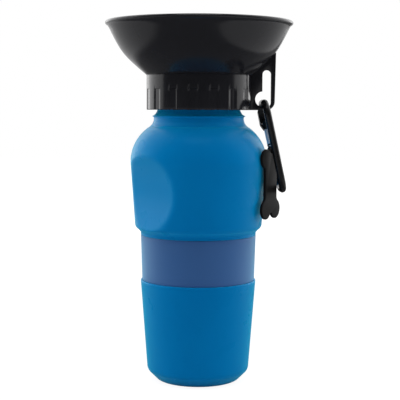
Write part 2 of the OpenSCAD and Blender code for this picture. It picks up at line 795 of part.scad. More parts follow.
module spring_plunger() color("goldenrod")
    at_gate()
        translate([0, 0, tongue_flat + plunger_gap + plunger_r]) {
            sphere(r = plunger_r, $fn = 32);
            cylinder(h = spring_start - tongue_flat - plunger_gap - plunger_r - spring_wire_d / 2,
                r = plunger_r, $fn = 32);
        }

// Bone's own frame: origin in the tab's hole, x across the bone, y up, z out of its face.
module at_bone()
    translate(tag_eye) rotate([0, 0, tag_turn]) rotate([90, 0, 0]) children();

// One quarter of the bone's outline: concave fillet at the shaft, lobe, and half of the end's notch.
function bone_quarter() =
    let (
        f = [bone_shaft_w / 2 + shaft_fillet_r,
            lobe_dz - sqrt(pow(bone_lobe_r + shaft_fillet_r, 2)
                - pow(bone_shaft_w / 2 + shaft_fillet_r - lobe_dx, 2))],
        lobe = [lobe_dx, lobe_dz],
        g = [0, lobe_dz + sqrt(pow(bone_lobe_r + notch_fillet_r, 2) - lobe_dx * lobe_dx)],
        a = atan2(f.y - lobe.y, f.x - lobe.x),
        b = atan2(g.y - lobe.y, g.x - lobe.x)
    )
    concat(
        arc(f, shaft_fillet_r, 180, a + 180, 6),
        arc(lobe, bone_lobe_r, a, b, 20),
        arc(g, notch_fillet_r, b - 180, -90, 4)
    );

function flipped(points, sx, sy) = [for (p = points) [sx * p.x, sy * p.y]];
function backwards(points) = [for (i = [len(points) - 1:-1:0]) points[i]];

module bone_shape()
    translate([0, -tab_up])
        polygon(concat(
            bone_quarter(),
            backwards(flipped(bone_quarter(), -1, 1)),
            flipped(bone_quarter(), -1, -1),
            backwards(flipped(bone_quarter(), 1, -1))
        ));

module bone_tag() color("#3a3a3c")
    at_bone()
        difference() {
            union() {
                linear_extrude(height = bone_t, center = true) bone_shape();
                cylinder(h = bone_t, r = tab_r, center = true, $fn = 64);
                linear_extrude(height = bone_t, center = true)
                    polygon([
                        [-tab_foot, -tab_r],
                        [tab_foot, -tab_r],
                        [tab_r * cos(tab_side), tab_r * sin(tab_side)],
                        [-tab_r * cos(tab_side), tab_r * sin(tab_side)]
                    ]);
            }
            cylinder(h = 2 * bone_t, r = tab_hole_r, center = true, $fn = 48);
        }

// Catmull-Rom curve through a closed list of points.
function closed_curve(points, steps) = [
    for (i = [0:len(points) - 1], k = [0:steps - 1])
        let (
            n = len(points),
            p0 = points[(i + n - 1) % n],
            p1 = points[i],
            p2 = points[(i + 1) % n],
            p3 = points[(i + 2) % n],
            t = k / steps
        )
        0.5 * (2 * p1 + (p2 - p0) * t + (2 * p0 - 5 * p1 + 4 * p2 - p3) * t * t
            + (3 * p1 - p0 - 3 * p2 + p3) * t * t * t)
];

// Rings of radius r square to a closed path, turned from one fixed direction.
function path_rings(path, r, sides, from) = [
    for (i = [0:len(path) - 1])
        let (
            n = len(path),
            t = unit(path[(i + 1) % n] - path[(i + n - 1) % n]),
            a = unit(cross(t, from)),
            b = cross(t, a)
        )
        [for (j = [0:sides - 1]) path[i] + r * (cos(360 * j / sides) * a + sin(360 * j / sides) * b)]
];

// A point of the shank below the gate's hinge, in the bone's own frame.
function shank_at_bone() =
    let (
        p = hinge + link_down * gate_down,
        turned = [-p.x * sin(carabiner_turn), p.x * cos(carabiner_turn)],
        x = pivot.x + turned.x * cos(lean) - p.y * sin(lean) - tag_eye.x,
        y = turned.y - tag_eye.y,
        z = pivot.z + turned.x * sin(lean) + p.y * cos(lean) - tag_eye.z
    )
    [x * tag_along.x + y * tag_along.y, z, x * tag_face.x + y * tag_face.y];

// Link's path: out through the tab's hole, over the tab, back behind the bone and round the shank.
function link_path() =
    let (
        s = shank_at_bone(),
        r = rod_r + link_d / 2 + hang_gap,
        skin = bone_t / 2 + link_d / 2 + hang_gap,
        top = tab_r + link_d / 2 + hang_gap,
        out = unit([s.x, s.z]),
        left = [-out.y, out.x]
    )
    [
        [0, 0, 0],
        [0, 0.5, skin],
        [0, top * 0.7, skin + 0.2],
        [0, top + 0.3, 0.2],
        [0.4, top * 0.9, -skin - 0.3],
        [s.x * 0.5 + r * left.x, s.y * 0.5 + 1.8, s.z * 0.5 - skin / 2 + r * 0.5],
        [s.x + r * left.x, s.y + 0.3, s.z + r * left.y],
        [s.x + r * (out.x + left.x) * 0.72, s.y + 0.1, s.z + r * (out.y + left.y) * 0.72],
        [s.x + r * out.x, s.y, s.z + r * out.y],
        [s.x + r * (out.x - left.x) * 0.72, s.y, s.z + r * (out.y - left.y) * 0.72],
        [s.x - r * left.x, s.y, s.z - r * left.y],
        [s.x * 0.45 - r * left.x, s.y * 0.5 - 0.6, s.z * 0.5 - skin / 2 - r * 0.5],
        [0.6, -0.2, -skin - 0.6]
    ];

module tag_link() color("#161718")
    at_bone()
        swept_tube(path_rings(closed_curve(link_path(), 5), link_d / 2, 8, [0.5, 0.7, 0.6]), true);

squeeze_bottle();
grip_band();
neck_gasket();
bowl_cap();
dip_tube();
valve_o_ring();
valve_knob();
carabiner_frame();
carabiner_gate();
gate_rivet();
latch_pin();
gate_spring();
spring_plunger();
tag_link();
bone_tag();
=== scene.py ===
"""Looks of the dog travel water bottle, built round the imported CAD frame.

+Z is up and the camera looks along +Y. Profiles and outlines are in millimetres, in the
(radius, height) plane unless said otherwise, and meshes are in metres.
"""
import json
import math

import bmesh
import bpy
import numpy as np
from mathutils import Matrix, Vector


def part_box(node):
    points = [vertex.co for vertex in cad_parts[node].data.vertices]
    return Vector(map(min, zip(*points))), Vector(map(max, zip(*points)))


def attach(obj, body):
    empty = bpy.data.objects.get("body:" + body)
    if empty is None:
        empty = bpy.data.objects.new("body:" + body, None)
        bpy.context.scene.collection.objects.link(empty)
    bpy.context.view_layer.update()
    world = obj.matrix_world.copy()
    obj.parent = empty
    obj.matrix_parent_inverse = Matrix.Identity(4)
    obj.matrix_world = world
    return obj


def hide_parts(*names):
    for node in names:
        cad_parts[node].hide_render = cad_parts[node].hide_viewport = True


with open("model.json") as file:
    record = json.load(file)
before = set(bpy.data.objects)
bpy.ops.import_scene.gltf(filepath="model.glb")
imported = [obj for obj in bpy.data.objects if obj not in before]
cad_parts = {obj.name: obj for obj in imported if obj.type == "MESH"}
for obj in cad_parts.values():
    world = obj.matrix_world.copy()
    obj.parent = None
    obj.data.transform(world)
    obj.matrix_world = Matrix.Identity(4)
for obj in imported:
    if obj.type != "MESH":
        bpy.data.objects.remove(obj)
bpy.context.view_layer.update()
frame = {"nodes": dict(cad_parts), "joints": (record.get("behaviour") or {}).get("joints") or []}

MM = 0.001
NODES = frame["nodes"]
JOINTS = {joint["name"]: joint for joint in frame["joints"]}


# ---------------------------------------------------------------- profiles

STRAIGHT = 1.55  # half of a corner's angle, in radians, from which the corner counts as straight
MOST_BACK = 0.48  # share of each neighbouring edge that a fillet may take


def arc(centre, radius, start, end, steps):
    """Points of an arc, angles in degrees."""
    angles = np.radians(np.linspace(start, end, steps + 1))
    return [(centre[0] + radius * math.cos(a), centre[1] + radius * math.sin(a)) for a in angles]


def fillet(before, corner, after, radius, steps=4):
    """Points of the arc that rounds a corner."""
    p = np.array(corner, float)
    u = np.array(before, float) - p
    v = np.array(after, float) - p
    lu, lv = np.linalg.norm(u), np.linalg.norm(v)
    u, v = u / lu, v / lv
    half = math.acos(max(-1.0, min(1.0, float(u @ v)))) / 2
    if half > STRAIGHT:
        return [tuple(p)]
    back = min(radius / math.tan(half), MOST_BACK * lu, MOST_BACK * lv)
    radius = back * math.tan(half)
    middle = p + (u + v) / np.linalg.norm(u + v) * radius / math.sin(half)
    a = p + u * back - middle
    b = p + v * back - middle
    start = math.atan2(a[1], a[0])
    turn = math.atan2(a[0] * b[1] - a[1] * b[0], float(a @ b))
    return [
        (middle[0] + radius * math.cos(start + turn * k / steps),
         middle[1] + radius * math.sin(start + turn * k / steps))
        for k in range(steps + 1)
    ]


def rounded(points, closed=False):
    """A profile from (radius, height, fillet radius) corners, with each corner rounded."""
    n = len(points)
    out = []
    for i, (x, z, r) in enumerate(points):
        if r == 0 or (not closed and i in (0, n - 1)):
            out.append((x, z))
            continue
        before = points[(i - 1) % n]
        after = points[(i + 1) % n]
        out += fillet(before[:2], (x, z), after[:2], r)
    return out


def refined(profile, step):
    """The profile with its long straight stretches split, so that none is longer than step."""
    out = []
    for a, b in zip(profile, profile[1:]):
        parts = max(1, math.ceil(math.dist(a, b) / step))
        out += [(a[0] + (b[0] - a[0]) * k / parts, a[1] + (b[1] - a[1]) * k / parts)
                for k in range(parts)]
    return out + [profile[-1]]


def cubic(a, b, c, d, steps):
    """Points of a cubic curve from a to d, pulled towards b and c."""
    points = []
    for k in range(steps + 1):
        t = k / steps
        parts = ((1 - t) ** 3, 3 * t * (1 - t) ** 2, 3 * t * t * (1 - t), t ** 3)
        points.append(tuple(sum(w * p[i] for w, p in zip(parts, (a, b, c, d))) for i in (0, 1)))
    return points


# ---------------------------------------------------------------- meshes

def put(name, data):
    """A new object in the scene."""
    made = bpy.data.objects.new(name, data)
    bpy.context.scene.collection.objects.link(made)
    return made


def rework(mesh, work):
    """Runs some bmesh work on a mesh."""
    bm = bmesh.new()
    bm.from_mesh(mesh)
    work(bm)
    bm.to_mesh(mesh)
    bm.free()


def face_outward(piece):
    rework(piece.data, lambda bm: bmesh.ops.recalc_face_normals(bm, faces=bm.faces))


def shade(piece, sharp=None):
    """Smooth shading, with edges sharper than the angle (degrees) kept hard."""
    for face in piece.data.polygons:
        face.use_smooth = True
    if sharp:
        piece.data.set_sharp_from_angle(angle=math.radians(sharp))


def mesh_object(name, verts, faces, sharp=None):
    mesh = bpy.data.meshes.new(name)
    mesh.from_pydata([tuple(v) for v in verts], [], faces)
    mesh.validate()
    piece = put(name, mesh)
    face_outward(piece)
    shade(piece, sharp)
    return piece


def turned(name, profile, columns, pushes=None, closed=True, sharp=None):
    """A body of revolution. A row's push gives its new radius from (angle, radius, height)."""
    rows = len(profile)
    verts = []
    for i, (r, z) in enumerate(profile):
        for c in range(columns):
            a = 2 * math.pi * c / columns
            rr = pushes[i](a, r, z) if pushes else r
            verts.append((rr * math.cos(a) * MM, rr * math.sin(a) * MM, z * MM))
    faces = []
    for i in range(rows if closed else rows - 1):
        j = (i + 1) % rows
        for c in range(columns):
            d = (c + 1) % columns
            faces.append((i * columns + c, i * columns + d, j * columns + d, j * columns + c))
    if not closed:
        faces.append(tuple(range(columns)))
        faces.append(tuple((rows - 1) * columns + c for c in range(columns)))
    return mesh_object(name, verts, faces, sharp)


def swept(name, rings):
    """Skin over a list of rings of points, with both ends closed."""
    m, n = len(rings[0]), len(rings)
    verts = [p for ring in rings for p in ring]
    faces = []
    for i in range(n - 1):
        k = i + 1
        for j in range(m):
            l = (j + 1) % m
            faces.append((i * m + j, k * m + j, k * m + l, i * m + l))
    faces.append(tuple(range(m)))
    faces.append(tuple((n - 1) * m + j for j in range(m)))
    return mesh_object(name, verts, faces)


def tube(name, path, radius, sides, first):
    """A round tube along a path, in metres, with its section carried along without twist."""
    points = [Vector(p) for p in path]
    last = len(points) - 1
    turns = [2 * math.pi * j / sides for j in range(sides)]
    side = Vector(first)
    rings = []
    for i, point in enumerate(points):
        along = points[min(i + 1, last)] - points[max(i - 1, 0)]
        along.normalize()
        side = (side - along * side.dot(along)).normalized()
        up = along.cross(side)
        rings.append([point + side * radius * math.cos(a) + up * radius * math.sin(a)
                      for a in turns])
    return swept(name, rings)


def joined(name, pieces):
    """One object from several."""
    target = bmesh.new()
    for piece in pieces:
        part = piece.data.copy()
        part.transform(piece.matrix_world)
        target.from_mesh(part)
        bpy.data.meshes.remove(part)
    mesh = bpy.data.meshes.new(name)
    target.to_mesh(mesh)
    target.free()
    for piece in pieces:
        bpy.data.objects.remove(piece)
    return put(name, mesh)


def evaluated(piece):
    """The object's mesh with its modifiers made real."""
    bpy.context.view_layer.update()
    graph = bpy.context.evaluated_depsgraph_get()
    return bpy.data.meshes.new_from_object(piece.evaluated_get(graph))


def applied(piece):
    """The object with its modifiers made real."""
    mesh = evaluated(piece)
    piece.modifiers.clear()
    piece.data = mesh
    return piece


def edged(piece, width, segments=3, angle=30):
    """Rounds the edges of a piece that are sharper than the angle (degrees)."""
    bevel = piece.modifiers.new("edges", "BEVEL")
    bevel.width = width * MM
    bevel.segments = segments
    bevel.limit_method = "ANGLE"
    bevel.angle_limit = math.radians(angle)
    bevel.use_clamp_overlap = True
    applied(piece)
    shade(piece, 40)
    return piece


def without_ngons(piece):
    """Splits the faces of more than four corners, which would be filled differently elsewhere."""
    def split(bm):
        bmesh.ops.triangulate(bm, faces=[face for face in bm.faces if len(face.verts) > 4])
    rework(piece.data, split)
    return piece


def cut(piece, other, how):
    """Boolean of two objects, kept in the first one."""
    step = piece.modifiers.new("cut", "BOOLEAN")
    step.operation = how
    step.object = other
    step.solver = "EXACT"
    applied(piece)
    bpy.data.objects.remove(other)
    return piece


def prism(name, outline, low, high, place):
    """An outline (x, y) pulled from low to high along Z, put in place by a matrix."""
    n = len(outline)
    verts = [place @ Vector((x * MM, y * MM, z * MM)) for z in (low, high) for x, y in outline]
    faces = [tuple(range(n)), tuple(range(n, 2 * n))]
    faces += [(k, (k + 1) % n, n + (k + 1) % n, n + k) for k in range(n)]
    return mesh_object(name, verts, faces)


def plate(name, outline, hole, thickness, edge, place):
    """A flat plate with a hole and rounded edges, put in place by a matrix."""
    flat = bpy.data.curves.new(name, "CURVE")
    flat.dimensions = "2D"
    flat.fill_mode = "BOTH"
    flat.extrude = (thickness / 2 - edge) * MM
    flat.bevel_depth = edge * MM
    flat.bevel_resolution = 3
    flat.offset = -edge * MM
    for points in (outline, hole):
        spline = flat.splines.new("POLY")
        spline.points.add(len(points) - 1)
        for slot, (x, y) in zip(spline.points, points):
            slot.co = (x * MM, y * MM, 0, 1)
        spline.use_cyclic_u = True
    holder = put(name, flat)
    mesh = evaluated(holder)
    bpy.data.objects.remove(holder)
    piece = put(name, mesh)
    rework(mesh, lambda bm: bmesh.ops.remove_doubles(bm, verts=bm.verts, dist=0.002 * MM))
    piece.data.transform(place)
    face_outward(piece)
    shade(piece, 35)
    return piece


# ---------------------------------------------------------------- copies of CAD nodes

def cad_copy(name, node):
    """A new object with a copy of a CAD node's mesh, without material and stored normals."""
    mesh = NODES[node].data.copy()
    mesh.materials.clear()
    for attribute in list(mesh.attributes):
        if attribute.name == "custom_normal":
            mesh.attributes.remove(attribute)
    return put(name, mesh)


def softened(name, node, width, segments=3):
    """A copy of a CAD node's mesh with its hard edges rounded over. It stands for the node."""
    piece = cad_copy(name, node)

    def clean(bm):
        bmesh.ops.remove_doubles(bm, verts=bm.verts, dist=0.004 * MM)
        flat = math.radians(0.6)
        bmesh.ops.dissolve_limit(bm, angle_limit=flat, verts=bm.verts, edges=bm.edges)

    rework(piece.data, clean)
    edged(piece, width, segments, 32)
    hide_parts(node)
    return piece


def smoothed(name, node, levels):
    """A subdivided copy of a CAD node's mesh. It stands for the node."""
    piece = cad_copy(name, node)

    def clean(bm):
        bmesh.ops.remove_doubles(bm, verts=bm.verts, dist=0.002 * MM)
        bmesh.ops.join_triangles(bm, faces=bm.faces, angle_face_threshold=0.6,
                                 angle_shape_threshold=3.0)

    rework(piece.data, clean)
    step = piece.modifiers.new("smooth", "SUBSURF")
    step.levels = step.render_levels = levels
    applied(piece)
    shade(piece)
    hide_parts(node)
    return piece


# ---------------------------------------------------------------- shader nodes

NOISE_SPAN = (0.3, 0.7)  # where most of a noise's values lie
TONES_AT = (0.35, 0.65)  # noise values of the dark and the light tone


def fill(node, values):
    """Sets values on a shader node's sockets, by name or number."""
    for socket, value in values.items():
        node.inputs[socket].default_value = value


def add(tree, kind, values=None):
    made = tree.nodes.new(kind)
    fill(made, values or {})
    return made


def material(name):
    made = bpy.data.materials.new(name)
    made.use_nodes = True
    return made, made.node_tree, made.node_tree.nodes["Principled BSDF"]


def own_space(tree):
    """A point's place in its object's own space."""
    return add(tree, "ShaderNodeTexCoord").outputs["Object"]


def split_axes(tree, vector):
    node = add(tree, "ShaderNodeSeparateXYZ")
    tree.links.new(vector, node.inputs["Vector"])
    return node.outputs


def noise(tree, scale, detail, stretch=None):
    """Noise in the object's own space, with scale in features per metre."""
    texture = add(tree, "ShaderNodeTexNoise", {"Scale": scale, "Detail": detail, "Roughness": 0.5})
    vector = own_space(tree)
    if stretch:
        mapping = add(tree, "ShaderNodeMapping", {"Scale": stretch})
        tree.links.new(vector, mapping.inputs["Vector"])
        vector = mapping.outputs["Vector"]
    tree.links.new(vector, texture.inputs["Vector"])
    return texture.outputs["Fac"]


def bump(tree, height, strength, distance, shader):
    node = add(tree, "ShaderNodeBump", {"Strength": strength, "Distance": distance})
    tree.links.new(height, node.inputs["Height"])
    tree.links.new(node.outputs["Normal"], shader.inputs["Normal"])


def ramped(tree, value, span, results, target):
    """Carries a value to a socket through a straight ramp from a span to two results."""
    node = add(tree, "ShaderNodeMapRange", {
        "From Min": span[0], "From Max": span[1], "To Min": results[0], "To Max": results[1]})
    tree.links.new(value, node.inputs["Value"])
    tree.links.new(node.outputs["Result"], target)


def two_tone(tree, value, dark, light, target):
    ramp = add(tree, "ShaderNodeValToRGB")
    for stop, at, colour in zip(ramp.color_ramp.elements, TONES_AT, (dark, light)):
        stop.position = at
        stop.color = (*colour, 1)
    tree.links.new(value, ramp.inputs["Fac"])
    tree.links.new(ramp.outputs["Color"], target)


# ---------------------------------------------------------------- materials

PLASTIC_DRIFT, PLASTIC_GLOSS = 14.0, 60.0  # features per metre
METAL_GRAIN, METAL_GLOSS = 3000.0, 400.0
BRUSHED = (1, 1, 0.05)  # draws the metal's grain out along the object's Z
METAL_DARK = 0.86  # a metal's dark tone as a share of its colour
GATE_METALLIC = 0.12
# painted shade: the gate's tip inside the nose's mouth is painted near black to stand in for the
# shade there
TIP_PAINTED_SHADE = (0.008, 0.008, 0.009, 1)
TIP_SHADE_FADE = 0.0002  # half the height, in metres, over which the gate's tip turns dark


def plastic(name, dark, light, rough, rough_spread, grain=2600.0, grain_depth=0.00002, **extra):
    """Moulded plastic: a faint drift of colour and gloss, and a fine moulded grain."""
    made, tree, shader = material(name)
    two_tone(tree, noise(tree, PLASTIC_DRIFT, 3.0), dark, light, shader.inputs["Base Color"])
    ramped(tree, noise(tree, PLASTIC_GLOSS, 5.0), NOISE_SPAN,
           (rough - rough_spread, rough + rough_spread), shader.inputs["Roughness"])
    fill(shader, {
        "Specular IOR Level": 0.5, "Coat Weight": 0.0, "Coat Roughness": 0.06,
        **{socket.replace("_", " "): value for socket, value in extra.items()}})
    bump(tree, noise(tree, grain, 2.0), 0.35, grain_depth, shader)
    return made


def metal(name, colour, rough, metallic=1.0):
    """Brushed metal, with the grain in its colour and its surface."""
    made, tree, shader = material(name)
    grain = noise(tree, METAL_GRAIN, 3.0, BRUSHED)
    dark = tuple(c * METAL_DARK for c in colour)
    two_tone(tree, grain, dark, colour, shader.inputs["Base Color"])
    ramped(tree, noise(tree, METAL_GLOSS, 4.0), NOISE_SPAN, (rough * 0.75, rough * 1.3),
           shader.inputs["Roughness"])
    fill(shader, {"Metallic": metallic})
    bump(tree, grain, 0.2, 0.00001, shader)
    return made


BOTTLE = plastic(
    "bottle_blue_plastic", (0.0, 0.190, 0.530), (0.0, 0.210, 0.570), 0.29, 0.04,
    grain=900.0, grain_depth=0.00003, Specular_IOR_Level=0.09, Specular_Tint=(0.12, 0.62, 1.0, 1),
    Sheen_Weight=0.60, Sheen_Roughness=0.5, Sheen_Tint=(0.02, 0.8, 1.0, 1),
    Subsurface_Weight=0.12, Subsurface_Radius=(0.001, 0.003, 0.005))
BAND = plastic(
    "band_blue_rubber", (0.025, 0.112, 0.345), (0.029, 0.123, 0.369), 0.50, 0.05,
    grain=3200.0, grain_depth=0.00003, Specular_IOR_Level=0.35,
    Sheen_Weight=1.0, Sheen_Roughness=0.45, Sheen_Tint=(0.35, 0.75, 1.0, 1))
CAP = plastic(
    "cap_black_gloss", (0.0116, 0.0118, 0.0152), (0.0138, 0.0142, 0.0182), 0.16, 0.03,
    grain=500.0, grain_depth=0.000012, Specular_IOR_Level=0.30)
KNOB = plastic("knob_black_gloss", (0.008, 0.008, 0.0085), (0.011, 0.011, 0.012), 0.24, 0.04)
CARABINER = plastic(
    "carabiner_black_enamel", (0.005, 0.005, 0.0055), (0.008, 0.008, 0.009), 0.28, 0.05,
    grain=1500.0, Coat_Weight=0.06, Specular_IOR_Level=0.26)
SILVER = metal("gate_brushed_aluminium", (0.95, 0.94, 0.92), 0.42, GATE_METALLIC)
STEEL = metal("rivet_steel", (0.52, 0.52, 0.54), 0.30)
BRASS = metal("plunger_brass", (0.60, 0.42, 0.18), 0.35)
BONE = plastic(
    "bone_grey_rubber", (0.0045, 0.0045, 0.005), (0.007, 0.007, 0.0075), 0.55, 0.06,
    grain=4000.0, grain_depth=0.00005, Specular_IOR_Level=0.09)
LINK = plastic("link_black_rubber", (0.006, 0.006, 0.007), (0.010, 0.010, 0.011), 0.45, 0.05)
GASKET = plastic("gasket_white_silicone", (0.55, 0.57, 0.58), (0.62, 0.64, 0.65), 0.42, 0.05)
O_RING = plastic("o_ring_black_rubber", (0.010, 0.010, 0.010), (0.016, 0.016, 0.016), 0.5, 0.05)
TUBE = plastic("tube_milky_plastic", (0.45, 0.52, 0.56), (0.52, 0.58, 0.62), 0.35, 0.05)


def shade_painted_tip(made, height):
    """Painted shade on the gate's tip, where the nose's mouth shades it: the metal turns dark above
    a height in metres.
    """
    tree = made.node_tree
    shader = tree.nodes["Principled BSDF"]
    z = split_axes(tree, own_space(tree))["Z"]
    span = (height - TIP_SHADE_FADE, height + TIP_SHADE_FADE)
    mix = add(tree, "ShaderNodeMix")
    mix.data_type = "RGBA"
    ramped(tree, z, span, (0.0, 1.0), mix.inputs["Factor"])
    tree.links.new(shader.inputs["Base Color"].links[0].from_socket, mix.inputs["A"])
    mix.inputs["B"].default_value = TIP_PAINTED_SHADE
    tree.links.new(mix.outputs["Result"], shader.inputs["Base Color"])
    ramped(tree, z, span, (GATE_METALLIC, 0.0), shader.inputs["Metallic"])


def dress(piece, made, body=None):
    """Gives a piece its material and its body."""
    piece.data.materials.clear()
    piece.data.materials.append(made)
    if body:
        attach(piece, body)
    return piece


# ---------------------------------------------------------------- threads

THREAD_TURNS, THREAD_PITCH = 1.5, 5.0
RIB_HEIGHT, RIB_ROOT, RIB_CREST, RIB_SUNK = 1.5, 2.7, 1.5, 0.25
RIB_STEPS = 60  # in a full turn
RUN_OUT_STEPS, RUN_OUT_LEAST = 7, 0.04


def helix(name, radius, side, z0):
    """A thread's helical rib, run out at both ends, standing out (side 1) or in (side -1)."""
    steps = int(THREAD_TURNS * RIB_STEPS)
    rings = []
    for i in range(steps + 1):
        a = 2 * math.pi * THREAD_TURNS * i / steps
        share = max(RUN_OUT_LEAST, min(1.0, i / RUN_OUT_STEPS, (steps - i) / RUN_OUT_STEPS))
        z = z0 + THREAD_PITCH * THREAD_TURNS * i / steps
        root = radius - side * RIB_SUNK
        crest = radius + side * RIB_HEIGHT * share
        section = [(root, RIB_ROOT / 2), (crest, RIB_CREST / 2),
                   (crest, -RIB_CREST / 2), (root, -RIB_ROOT / 2)]
        rings.append([(r * math.cos(a) * MM, r * math.sin(a) * MM, (z + dz) * MM)
                      for r, dz in section])
    piece = swept(name, rings)
    shade(piece, 30)
    return piece


# ---------------------------------------------------------------- bottle

GAP = 0.05  # between the grip band and the lips above and below it
BAND_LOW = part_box("grip_band")[0].z / MM - GAP
BAND_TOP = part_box("grip_band")[1].z / MM + GAP
BAND_LOW_R, BAND_TOP_R, BAND_BED, BAND_T, BAND_ROUND = 36.4, 37.3, 1.23, 1.2, 0.45

WALL = 1.3
PUSH_UP = ((0.02, 2.5), (10.0, 2.0), (15.5, 0.6), (17.5, 0.0))
BASE_R, BASE_EDGE_R, BASE_SIDE_Z = 33.0, 33.0 - 6.8, 6.9
BASE_LOW_ROUND, BASE_HIGH_ROUND = 4, 5.0
BEVEL_SHIFT = 0.42  # how far the base bevel's ends move for each millimetre of wall
LOWER_TOP_R, LOWER_LIP, UPPER_LIP, WAIST_H = 37.35, 0.6, 0.4, 1.9

BELLY_LOW_Z, BELLY_LOW_R, BELLY_LOW_ROUND, BELLY_LOW_FROM = BAND_TOP + 7.4, 41.1, 4, -62
BELLY_Z, BELLY_R, SHOULDER_ROUND = BAND_TOP + 47, 44.0, 27.2
STEP_R, STEP_ROUND = 29.0, 6.5

NECK_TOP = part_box("squeeze_bottle")[1].z / MM
NECK_R, NECK_BORE_R, NECK_FOOT_R = 26.25, 24.45, 26.9
BEAD_Z, BEAD_OUT_R, BEAD_TOP_R = NECK_TOP - 21.8, 30.1, 28.1
SHOULDER_IN_R = 27.4
THREAD_Z = BEAD_Z + 1.2 + 8.6

RECESS_SLOPE = math.atan2(BELLY_R - BELLY_LOW_R, BELLY_Z - BELLY_LOW_Z)
RECESS_Z = BAND_TOP + 28.4
RECESS_R, RECESS_DEPTH, RECESS_ROUND = 50.0, 6.6, 1.3
RECESS_ANGLES = (-143.0, 37.0)
RECESS_REACH = (BELLY_LOW_Z - 6, BELLY_Z + 16)
RECESS_SIDE = 0.3  # cosine of the angle from a recess's middle beyond which it doesn't reach
RECESS_AXIS_X = (BELLY_LOW_R + (RECESS_Z - BELLY_LOW_Z) * math.tan(RECESS_SLOPE) - RECESS_DEPTH
                 + RECESS_R * math.cos(RECESS_SLOPE))
RECESS_AXIS_Z = RECESS_Z - RECESS_R * math.sin(RECESS_SLOPE)

OUTER_STEP, NECK_STEP, INNER_STEP = 1.4, 1.5, 5.0  # longest stretches of the bottle's profile
BOTTLE_COLUMNS, BAND_COLUMNS, BAND_STEP = 248, 256, 3


def soft_lower(a, b, k):
    """The lower of two numbers, with the crossing rounded over a width of k."""
    h = max(k - abs(a - b), 0.0) / k
    return min(a, b) - h * h * k * 0.25


def recessed(offset):
    """Pushes the belly's skin in where the two thumb recesses are."""
    def radius_at(angle, r, z):
        if not RECESS_REACH[0] < z < RECESS_REACH[1]:
            return r
        reach = (RECESS_R + offset) ** 2 - (z - RECESS_AXIS_Z) ** 2
        if reach <= 0:
            return r
        flat = RECESS_AXIS_X - math.sqrt(reach)
        for middle in RECESS_ANGLES:
            across = math.cos(angle - math.radians(middle))
            if across > RECESS_SIDE:
                r = soft_lower(r, flat / across, RECESS_ROUND)
        return r
    return radius_at


def bottle_outline(t):
    """Outer profile of the bottle (t = 0), or the cavity's with the wall t taken off."""
    shoulder_x = STEP_R + STEP_ROUND - BELLY_R + SHOULDER_ROUND
    rise = math.sqrt((SHOULDER_ROUND + STEP_ROUND) ** 2 - shoulder_x ** 2)
    lean = math.degrees(math.asin(rise / (SHOULDER_ROUND + STEP_ROUND)))
    foot = [(r, z + t) for r, z in PUSH_UP]
    low_edge = (BASE_EDGE_R - t * BEVEL_SHIFT, t)
    high_edge = (BASE_R - t, BASE_SIDE_Z + t * BEVEL_SHIFT)
    corner = fillet((0, t), low_edge, high_edge, BASE_LOW_ROUND - t, 8)
    corner += fillet(low_edge, high_edge, (LOWER_TOP_R - t, BAND_LOW), BASE_HIGH_ROUND, 8)
    lip = arc((LOWER_TOP_R - LOWER_LIP - t, BAND_LOW - LOWER_LIP - t), LOWER_LIP, 0, 90, 5)
    groove = [(BAND_LOW_R - BAND_BED - t, BAND_LOW - t), (BAND_TOP_R - BAND_BED - t, BAND_TOP + t)]
    top_lip = arc((BAND_TOP_R - UPPER_LIP - t, BAND_TOP + UPPER_LIP + t), UPPER_LIP, -90, 0, 4)
    waist = [(BAND_TOP_R - t, BAND_TOP + WAIST_H + t / 2)]
    low = arc((BELLY_LOW_R - BELLY_LOW_ROUND, BELLY_LOW_Z), BELLY_LOW_ROUND - t,
              BELLY_LOW_FROM, -math.degrees(RECESS_SLOPE), 12)
    shoulder = arc((BELLY_R - SHOULDER_ROUND, BELLY_Z), SHOULDER_ROUND - t, 0, lean, 30)
    hollow = arc((STEP_R + STEP_ROUND, BELLY_Z + rise), STEP_ROUND + t, 180 + lean, 180, 12)
    return foot + corner + lip + groove + top_lip + waist + low + shoulder + hollow


def make_bottle():
    outer = refined(bottle_outline(0), OUTER_STEP)
    neck = rounded([
        (STEP_R, BEAD_Z - 0.8, 0), (STEP_R, BEAD_Z - 0.3, 0.3), (BEAD_OUT_R, BEAD_Z + 0.45, 0.2),
        (BEAD_TOP_R, BEAD_Z + 1.7, 0.6), (NECK_FOOT_R, BEAD_Z + 3.6, 2.0),
        (NECK_R, BEAD_Z + 6.0, 2.0), (NECK_R, NECK_TOP, 0.5), (NECK_BORE_R, NECK_TOP, 0.4),
        (NECK_BORE_R, BEAD_Z + 0.8, 0)
    ])
    inner = [(SHOULDER_IN_R, BEAD_Z - 0.6)] + refined(bottle_outline(WALL), INNER_STEP)[::-1]
    profile = outer + refined(neck, NECK_STEP) + inner
    pushes = [recessed(0)] * len(outer) + [recessed(WALL)] * (len(profile) - len(outer))
    shell = turned("squeeze_bottle_body", profile, BOTTLE_COLUMNS, pushes, closed=False, sharp=50)
    thread = helix("neck_thread", NECK_R, 1, THREAD_Z)
    piece = joined("squeeze_bottle_skin", [shell, thread])
    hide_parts("squeeze_bottle")
    return dress(piece, BOTTLE, "bottle")


def make_band():
    low, top = BAND_LOW + GAP, BAND_TOP - GAP
    profile = rounded([
        (BAND_LOW_R - BAND_T, low, 0.1), (BAND_LOW_R, low, BAND_ROUND),
        (BAND_TOP_R, top, BAND_ROUND), (BAND_TOP_R - BAND_T, top, 0.1)
    ], closed=True)
    profile = refined(profile + [profile[0]], BAND_STEP)[:-1]
    piece = turned("grip_band_skin", profile, BAND_COLUMNS)
    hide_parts("grip_band")
    return dress(piece, BAND, "bottle")


# ---------------------------------------------------------------- bowl cap

